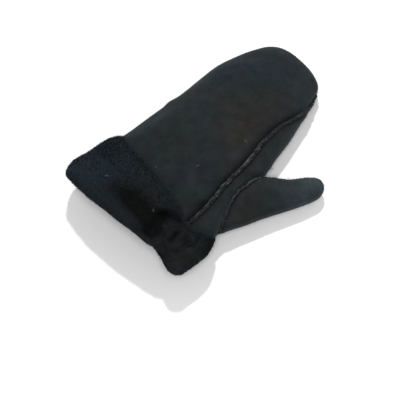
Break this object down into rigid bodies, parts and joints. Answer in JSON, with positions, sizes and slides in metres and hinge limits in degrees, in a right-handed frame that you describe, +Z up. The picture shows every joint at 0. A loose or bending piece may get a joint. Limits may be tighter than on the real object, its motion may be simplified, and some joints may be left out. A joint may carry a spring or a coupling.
{
  "type": "leather mitten",
  "caption": "Sheepskin mitten for the left hand: suede outside, wool inside, raised overcast seams, a set-in thumb and a deep turned-back wool cuff, lying palm down.",
  "frame": {"origin": "on the floor, in the flattened face of the palm on which the mitten rests", "axes": "+Y towards the fingertips, +X towards the thumb, +Z up out of the back of the hand"},
  "size_m": [0.1885, 0.2869, 0.0635],
  "materials": {
    "suede": "matte black suede",
    "wool": "dense black sheared wool",
    "seam_edge": "raw hide edge, overcast with grey-black thread"
  },
  "bodies": {
    "root": {"back_panel": "suede", "palm_panel": "suede", "thumb_outer": "suede", "thumb_inner": "suede", "wool_cuff": "wool", "hand_seam": "seam_edge", "thumb_base_seam": "seam_edge", "thumb_edge_seam": "seam_edge"}
  },
  "joints": []
}
